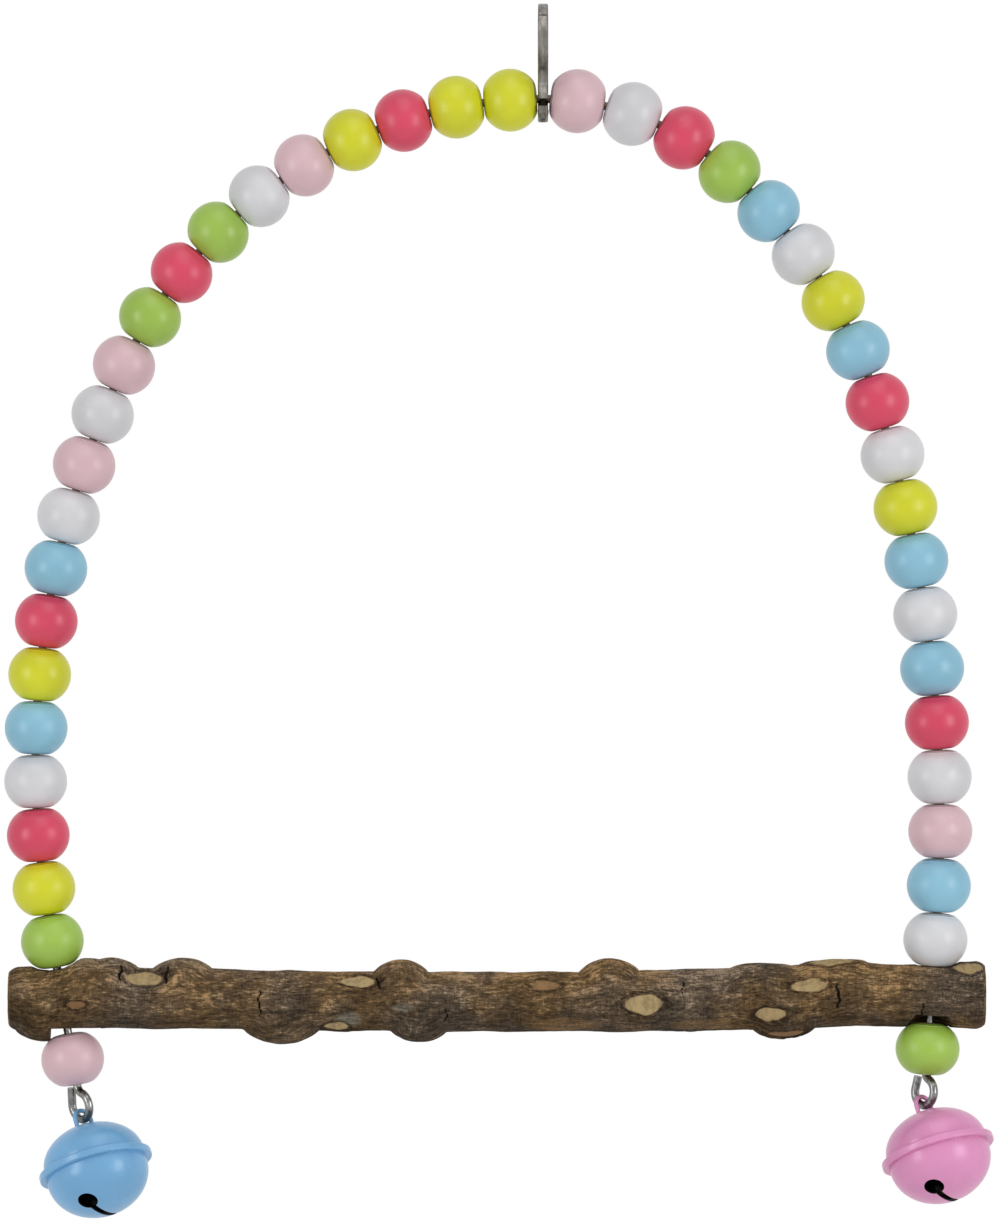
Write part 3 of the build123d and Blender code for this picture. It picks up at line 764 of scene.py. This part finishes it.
class SWING_OT_thread_beads(bpy.types.Operator):
    """Turn, paint and thread every bead"""

    bl_idname = "swing.thread_beads"
    bl_label = "Thread the beads"

    def execute(self, context):
        beads = context.scene.swing_beads
        make_paint_skin()
        make_wood_fibre()
        paints = {
            f"bead_{name}": bead_paint(f"Bead paint {name}", getattr(beads, name))
            for name in ("yellow", "raspberry", "pink", "white", "green", "blue")
        }
        tree = make_bead_tree()
        rooms = bead_rooms(beads.bore + CONTACT_SHARE * beads.corner, beads.gap)
        for joint in JOINTS.values():
            if not joint["name"].startswith("spin_bead"):
                continue
            node = joint["child"]
            mesh = grown_mesh(
                tree,
                f"{node}_turned",
                {
                    "Diameter": beads.diameter * (beads.stout if node.startswith(STOUT_SIDE) else 1.0),
                    "Length": rooms.get(joint["name"], beads.length),
                    "Face Radius": beads.face,
                    "Corner": beads.corner,
                    "Dome": beads.dome,
                    "Bore Radius": beads.bore,
                    "Place": joint["pos_m"],
                    "Wire Direction": joint["axis"],
                    "Paint": paints[SLOTS[node]],
                },
            )
            place_piece(f"{node}_painted", mesh, node, SLOTS[node], node)
        return {"FINISHED"}


def ring_values(share):
    """Lift and radius of the branch at shares of its length, in metres."""
    places, lifts, radii = (np.array(column) for column in zip(*BRANCH_RINGS))
    return np.interp(share, places, lifts) * MM, np.interp(share, places, radii) * MM


def branch_offsets(share, angle, length):
    """A function that measures from one place on the branch to every point of its grid."""
    def measure(at_share, at_angle, radius):
        """Distances along the branch and round it, and the turn round it."""
        along = (share - at_share) * length
        turn = (angle - math.radians(at_angle) + math.pi) % (2 * math.pi) - math.pi
        return along, turn * radius, turn

    return measure


def sample_noise(points, scales, seed):
    """Smooth noise at points stretched by the scales."""
    shift = Vector((seed * 7.31, seed * 3.17, seed * 1.93))
    stretched = points * np.array(scales)
    return np.array([noise.noise(Vector(p) + shift) for p in stretched])


def branch_level(settings):
    """Height of the branch's middle, before it is lifted here and there."""
    return WIRE_TOP[2] - settings.drop


def oval_reach(along, arc, half_length, half_width):
    """How far out points lie in an oval, squared: nought in its middle and one at its edge."""
    return (along / (half_length * MM)) ** 2 + (arc / (half_width * MM)) ** 2


def mark(masks, name, values):
    """Keep the stronger of a mask and new values for it."""
    masks[name] = np.maximum(masks[name], values)


def raise_bumps(measure, radius):
    """Raise the swellings of the branch."""
    swell = np.zeros(radius.size)
    for at_share, at_angle, rise, half_length, half_width in BRANCH_BUMPS:
        along, arc, _ = measure(at_share, at_angle, radius)
        reach = oval_reach(along, arc, half_length, half_width)
        swell = np.maximum(swell, rise * MM * np.clip(1 - reach, 0, 1) ** 0.8)
    radius += swell


def hump(values, middle, width):
    """One at a middle value, falling smoothly to nought on both sides."""
    return np.exp(-(((values - middle) / width) ** 2))


def cut_scars(measure, around, radius, masks, flow):
    """Flatten each scar, raise a collar round it, and part the fibres' flow there."""
    for at_share, at_angle, half_length, half_width, red in BRANCH_SCARS:
        along, arc, turn = measure(at_share, at_angle, around)
        wobble = 0.08 * np.sin(3 * np.arctan2(arc, along) + at_angle)
        pointed = np.abs(along / (half_length * MM)) ** 1.5 + np.abs(arc / (half_width * MM)) ** 1.9
        reach = pointed ** (1 / 1.7) * (1 + wobble)
        inside = 1 - np.clip((reach - 0.85) / 0.3, 0, 1)
        rim = hump(reach, 1.25, 0.22)
        collar = hump(reach, 1.6, 0.45)
        flat = radius[np.argmin(reach)] / np.cos(np.clip(turn, -0.9, 0.9))
        radius += inside * (np.minimum(flat, radius + 0.3 * MM) - radius) * 0.8
        radius += (0.6 * collar - 0.25 * rim - 0.2 * inside) * MM
        mark(masks, "scar", inside)
        mark(masks, "scar_rim", rim)
        mark(masks, "redness", red * (reach < 1.2))
        flow -= arc * np.minimum(1, 1 / np.maximum(reach, 0.3) ** 2) * 0.8


def smooth_patches(measure, around, masks):
    """Mark the patches where the bark is smooth."""
    for at_share, at_angle, half_length, half_width, grey in BRANCH_PATCHES:
        along, arc, _ = measure(at_share, at_angle, around)
        reach = np.sqrt(oval_reach(along, arc, half_length, half_width))
        inside = 1 - np.clip((reach - 0.6) / 0.5, 0, 1)
        mark(masks, "patch", inside * (1 - masks["scar"]))
        mark(masks, "greyness", grey * inside)


def crack_bark(measure, around, masks):
    """Mark the crooked cracks across the fibres."""
    for number, (at_share, at_angle, half_length, half_width) in enumerate(BRANCH_CRACKS):
        along, arc, _ = measure(at_share, at_angle, around)
        bend = 0.35 * MM * np.sin(arc / (1.1 * MM) + number)
        bend += 0.2 * MM * np.sin(arc / (0.45 * MM) + 2 * number)
        across = np.abs(along + bend) / (half_width * MM)
        fade = np.clip(1 - (arc / (half_length * MM)) ** 2, 0, 1)
        depth = np.clip(1.3 - across, 0, 1) * np.sqrt(fade) * (1 - masks["scar"])
        mark(masks, "crack", depth)


def grow_branch(settings):
    """The branch as a closed mesh with its marks as attributes, before it is drilled."""
    low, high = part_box("perch")
    length = high.x - low.x
    level = branch_level(settings)
    end_gap = 0.7 * MM / length
    share_row = np.linspace(end_gap, 1 - end_gap, BRANCH_ROWS)
    turn_row = np.linspace(0, 2 * math.pi, BRANCH_COLUMNS, endpoint=False)
    share, angle = (grid.ravel() for grid in np.meshgrid(share_row, turn_row, indexing="ij"))
    lift, radius = ring_values(share)
    around = radius.copy()
    measure = branch_offsets(share, angle, length)
    masks = {name: np.zeros(share.size) for name in BARK_MASKS}
    # the top of the branch is painted lighter, as painted light from above
    masks["bleach"] = np.cos(angle)

    rounding, rounded_length = 1.3 * MM, 3.2 * MM
    end_distance = np.minimum(share, 1 - share) * length
    radius -= rounding * np.clip(1 - end_distance / rounded_length, 0, 1) ** 2
    raise_bumps(measure, radius)
    # fibres part round the scars and close again behind them, as water does round a stone
    flow = angle * FIBRE_RADIUS
    cut_scars(measure, around, radius, masks, flow)
    for at_share, at_angle, _, half_length, half_width in BRANCH_BUMPS:
        along, arc, _ = measure(at_share, at_angle, around)
        flow += arc * 0.35 * np.exp(-oval_reach(along, arc, half_length, half_width))
    turn = flow / FIBRE_RADIUS
    grain = np.stack([share * length, FIBRE_RADIUS * np.sin(turn), FIBRE_RADIUS * np.cos(turn)], axis=1)
    smooth_patches(measure, around, masks)
    crack_bark(measure, around, masks)
    crack_depth = 0.55 * MM
    radius -= crack_depth * masks["crack"]

    calm = 1 - 0.85 * np.maximum(masks["scar"], 0.7 * masks["patch"])
    lump_height, dark_end_length = 0.45 * MM, 8 * MM
    lumps = sample_noise(grain, (70, 120, 120), 1)
    ridges = sample_noise(grain, (110, 720, 720), 2) + 0.5 * sample_noise(grain, (260, 1500, 1500), 3)
    radius += calm * (lump_height * lumps + settings.rough * ridges)
    # the troughs between the ridges are darkened, as painted shade
    masks["hollow"] = np.clip(-ridges * 1.1 - 0.12, 0, 1) * calm
    # the same mask also darkens the bark over the first few millimetres from the left end
    mark(masks, "hollow", np.clip(1 - share * length / dark_end_length + 0.5 * lumps, 0, 1))

    x = low.x + share * length
    y = -radius * np.sin(angle)
    z = level + lift + radius * np.cos(angle)
    end_lifts = ring_values(np.array([0.0, 1.0]))[0]
    middles = [Vector((end_x, 0, level + end_lift)) for end_x, end_lift in zip((low.x, high.x), end_lifts)]
    return branch_mesh([*zip(x, y, z)], masks, grain, middles)


def branch_mesh(points, masks, grain, middles):
    """A closed mesh from the points of the bark, with sawn ends of shrinking rings round their middles."""
    columns = BRANCH_COLUMNS
    bark_points = len(points)
    faces = []
    for row in range(BRANCH_ROWS - 1):
        here, there = row * columns, (row + 1) * columns
        for column in range(columns):
            after = (column + 1) % columns
            faces.append((here + column, there + column, there + after, here + after))
    bark_faces = len(faces)
    saw_depth = 0.12 * MM
    for end, middle in enumerate(middles):
        first = end * (bark_points - columns)
        ring = list(range(first, first + columns))
        for shrink in (0.93, 0.8, 0.6, 0.4, 0.2):
            inner = []
            for corner in range(first, first + columns):
                spot = middle + (Vector(points[corner]) - middle) * shrink
                saw = saw_depth * noise.noise(Vector((end * 9, spot.y * 600, spot.z * 120)))
                inner.append(len(points))
                points.append((middle.x - (1 if end else -1) * abs(saw), spot.y, spot.z))
            for column in range(columns):
                after = (column + 1) % columns
                face = (ring[column], ring[after], inner[after], inner[column])
                faces.append(face[::-1] if end else face)
            ring = inner
        hub = len(points)
        points.append(tuple(middle))
        for column in range(columns):
            face = (ring[column], ring[(column + 1) % columns], hub)
            faces.append(face[::-1] if end else face)

    mesh = bpy.data.meshes.new("perch_branch")
    mesh.from_pydata(points, [], faces)
    spare = len(points) - bark_points
    for name, values in masks.items():
        attribute = mesh.attributes.new(name, "FLOAT", "POINT")
        attribute.data.foreach_set("value", np.concatenate([values, np.zeros(spare)]).astype(np.float32))
    attribute = mesh.attributes.new("grain", "FLOAT_VECTOR", "POINT")
    padded = np.concatenate([grain, np.zeros((spare, 3))])
    attribute.data.foreach_set("vector", padded.astype(np.float32).ravel())
    for number, polygon in enumerate(mesh.polygons):
        polygon.material_index = 0 if number < bark_faces else 1
        polygon.use_smooth = number < bark_faces
    return mesh


def seat_places(side):
    """The middles of one side's upper and lower bead seats in the perch, and the wire's way down there."""
    perch = frame["nodes"]["perch"].data
    surface = BVHTree.FromPolygons([v.co for v in perch.vertices], [p.vertices for p in perch.polygons])
    upper = arch_beads(side)[-1]
    lower = JOINTS[f"spin_bead_{side}_lower"]
    down = Vector(lower["axis"])
    # the rays run beside the wire, so that they miss the hole for it
    beside = Vector((0, 1, 0)) * 3 * MM
    seats = []
    for joint, way in ((upper, down), (lower, -down)):
        found = surface.ray_cast(Vector(joint["pos_m"]) + beside, way)[0]
        seats.append(found - beside)
    return seats, down


class SWING_OT_grow_perch(bpy.types.Operator):
    """Grow the branch perch and drill it for the wire"""

    bl_idname = "swing.grow_perch"
    bl_label = "Grow the perch"

    def execute(self, context):
        settings = context.scene.swing_branch
        finishes = [branch_bark(settings.bark, settings.scar), cut_wood(branch_level(settings))]
        branch = add_object("perch_branch", add_finishes(grow_branch(settings), finishes))
        drills = bpy.data.collections.new("Drills")
        context.scene.collection.children.link(drills)
        bore = (settings.bore, settings.bore)
        dish = (settings.dish + settings.seat_depth, settings.dish)
        seat = (settings.seat, settings.seat)
        sawn = (settings.notch * math.sqrt(2), settings.notch * math.sqrt(2))
        square = Matrix.Rotation(math.pi / 4, 4, "Z")
        depth = settings.seat_depth
        through = 4 * depth
        around = 64
        for side, sink in (("left", settings.sink), ("right", 0.0)):
            (upper, lower), down = seat_places(side)
            turn = down.to_track_quat("Z", "Y").to_matrix().to_4x4()
            cuts = [
                ((upper + lower) / 2, turn, bore, through, around),
                (upper + down * (sink - depth / 2), turn, dish, depth, around),
            ]
            if side == "left":
                below = lower + Vector((settings.recess, 0, -depth / 2))
                cuts.append((below, square, sawn, depth, 4))
            else:
                below = lower + down * depth / 2 - Vector((0, settings.recess, 0))
                cuts.append((below, turn, seat, depth, around))
            for shape in cuts:
                drills.objects.link(self.drill(*shape, finishes))
        cut = branch.modifiers.new("Drill", "BOOLEAN")
        cut.operation = "DIFFERENCE"
        cut.solver = "EXACT"
        cut.operand_type = "COLLECTION"
        cut.collection = drills
        context.view_layer.update()
        drilled = made_mesh(branch, "perch_drilled")
        for spent in [*drills.objects]:
            bpy.data.objects.remove(spent)
        bpy.data.collections.remove(drills)
        place_piece("perch_bark", drilled, "arch", "bark", "perch")
        return {"FINISHED"}

    def drill(self, place, turn, radii, length, sides, finishes):
        """A closed cutter, round or square, straight or tapered, that leaves the cut wood's finish."""
        form = bmesh.new()
        bmesh.ops.create_cone(
            form, cap_ends=True, segments=sides, radius1=radii[0], radius2=radii[1], depth=length
        )
        bmesh.ops.transform(form, matrix=Matrix.Translation(place) @ turn, verts=form.verts)
        for face in form.faces:
            face.material_index = 1
        mesh = bpy.data.meshes.new("drill")
        form.to_mesh(mesh)
        form.free()
        return bpy.data.objects.new("drill", add_finishes(mesh, finishes))


class SWING_OT_dress_metal(bpy.types.Operator):
    """Finish the snap hook, the wire and the bells"""

    bl_idname = "swing.dress_metal"
    bl_label = "Dress the metal"

    def execute(self, context):
        metal = context.scene.swing_metal
        make_metal_wear()
        axis_level = WIRE_TOP[2]
        # the notch at the foot of the gate is painted dark, as painted shade under the arch's swing axis
        notch = (axis_level - metal.notch_depth, axis_level - metal.notch_top, metal.notch_shade)
        lowest = min(arch_beads(side)[-1]["pos_m"][2] for side in SIDES)
        # the wire under the beads is darkened, as painted shade in the gaps between them
        over_wire = axis_level + 5 * MM
        wire_gap_shade = (lowest, over_wire, metal.wire_gap_shade)
        plated = steel("Plated hook steel", metal.steel, (900.0, 500.0, 120.0), 0.34, notch)
        drawn = steel("Drawn wire steel", metal.wire, (500.0, 2200.0, 500.0), 0.2, wire_gap_shade)
        spring = steel("Spring steel", shade(metal.steel, 0.7), (900.0, 500.0, 300.0), 0.36)
        # the bare steel inside the bells is darkened far below steel, as painted shade in the closed bells
        bare = steel("Bare steel in the bells", shade(metal.steel, 0.2), (600.0, 600.0, 600.0), 0.5)
        for node in ("hook_body", "hook_gate", "gate_pin"):
            dress_node(node, plated)
        dress_node("gate_spring", spring)
        dress_node("arch_wire", drawn)
        for side, colour in (("left", metal.blue), ("right", metal.pink)):
            centre = Vector(JOINTS[f"pea_{side}_roll"]["pos_m"])
            paint = bell_paint(f"Bell paint {side}", colour)
            dress_node(f"bell_{side}_loop", paint)
            for piece in ("crown", "bowl"):
                shade_inside(dress_node(f"bell_{side}_{piece}", paint, bare), centre)
            # the pea gets the same dark steel, as painted shade inside the bell
            dress_node(f"bell_{side}_pea", bare)
        return {"FINISHED"}


def aim(thing, target):
    """Point a lamp or camera at a place."""
    way = Vector(target) - thing.location
    thing.rotation_euler = way.to_track_quat("-Z", "Y").to_euler()


class SWING_OT_set_stage(bpy.types.Operator):
    """Set the floor, the soft lamps and the camera"""

    bl_idname = "swing.set_stage"
    bl_label = "Set the stage"

    def execute(self, context):
        scene = context.scene
        stage = scene.swing_stage
        camera = add_object("Camera", bpy.data.cameras.new("Camera"))
        camera.location = VIEW_MIDDLE - Vector((0, stage.distance, 0))
        aim(camera, VIEW_MIDDLE)
        camera.data.sensor_width = 36
        camera.data.lens = camera.data.sensor_width * stage.distance / stage.view_height
        camera.data.clip_end = 60
        scene.camera = camera
        for softbox in SOFTBOXES:
            self.hang_softbox(*softbox)
        scene.world = self.white_surround(stage.ambient)
        bpy.ops.mesh.primitive_circle_add(vertices=96, radius=1.1, fill_type="NGON")
        floor = context.object
        floor.name = "Floor"
        floor.location = (VIEW_MIDDLE.x, 0, stage.floor_level)
        floor.data.materials.append(self.floor_finish())
        scene.view_settings.view_transform = "Standard"
        return {"FINISHED"}

    def hang_softbox(self, name, turn, rise, away, width, power):
        """Hang a lamp at angles round the middle of the view and point it there."""
        lamp = add_object(name, bpy.data.lights.new(name, "AREA"))
        lamp.data.shape = "RECTANGLE"
        lamp.data.size = width
        lamp.data.size_y = SOFTBOX_RATIO * width
        lamp.data.energy = power
        turn, rise = math.radians(turn), math.radians(rise)
        flat = math.cos(rise)
        way = Vector((math.sin(turn) * flat, -math.cos(turn) * flat, math.sin(rise)))
        lamp.location = VIEW_MIDDLE + away * way
        aim(lamp, VIEW_MIDDLE)

    def white_surround(self, ambient):
        """A world that is white to the camera and lights the swing less strongly."""
        world = bpy.data.worlds.new("White surround")
        tree = empty_tree(world)
        strength = seen_rays(tree).spread(0.0, 1.0, ambient, 1.0)
        surround = put(tree, "ShaderNodeBackground", {"Color": (1, 1, 1, 1), "Strength": strength})
        put(tree, "ShaderNodeOutputWorld", {"Surface": surround[0]})
        return world

    def floor_finish(self):
        """Pale matt floor that is nearly white to the camera, keeps the shadow and fades out at its edge."""
        material = bpy.data.materials.new("Pale floor")
        tree = empty_tree(material)
        matt = put(tree, "ShaderNodeBsdfDiffuse", {"Color": (0.85, 0.85, 0.85, 1)})[0]
        white = put(tree, "ShaderNodeEmission", {"Color": (1, 1, 1, 1), "Strength": 1.0})[0]
        glow = seen_rays(tree).spread(0.0, 1.0, 0.3, 0.72)
        lit = put(tree, "ShaderNodeMixShader", {0: glow, 1: matt, 2: white})[0]
        edge = put(tree, "ShaderNodeTexCoord")["Object"].distance().spread(0.35, 1.05)
        clear = put(tree, "ShaderNodeBsdfTransparent")[0]
        faded = put(tree, "ShaderNodeMixShader", {0: edge, 1: lit, 2: clear})[0]
        put(tree, "ShaderNodeOutputMaterial", {"Surface": faded})
        return material


class SWING_PT_panel(bpy.types.Panel):
    """The swing's settings and steps"""

    bl_label = "Bird swing"
    bl_idname = "SWING_PT_panel"
    bl_space_type = "VIEW_3D"
    bl_region_type = "UI"
    bl_category = "Bird swing"

    def draw(self, context):
        for operator, group in STEPS:
            box = self.layout.box()
            settings = getattr(context.scene, group)
            for name in settings.__annotations__:
                box.prop(settings, name)
            box.operator(operator.bl_idname)


STEPS = [
    (SWING_OT_set_stage, "swing_stage"),
    (SWING_OT_thread_beads, "swing_beads"),
    (SWING_OT_grow_perch, "swing_branch"),
    (SWING_OT_dress_metal, "swing_metal"),
]
GROUPS = {
    "swing_beads": BeadSettings,
    "swing_branch": BranchSettings,
    "swing_metal": MetalSettings,
    "swing_stage": StageSettings,
}
CLASSES = [*GROUPS.values(), *(operator for operator, _ in STEPS), SWING_PT_panel]


def register():
    """Make the settings, operators and panel known to Blender."""
    for cls in CLASSES:
        bpy.utils.register_class(cls)
    for name, group in GROUPS.items():
        setattr(bpy.types.Scene, name, bpy.props.PointerProperty(type=group))


def unregister():
    """Take away all that register added."""
    for name in GROUPS:
        delattr(bpy.types.Scene, name)
    for cls in reversed(CLASSES):
        bpy.utils.unregister_class(cls)


def main():
    """Build the swing step by step."""
    register()
    bpy.ops.swing.set_stage()
    bpy.ops.swing.thread_beads()
    bpy.ops.swing.grow_perch()
    bpy.ops.swing.dress_metal()


if __name__ == "__main__":
    main()
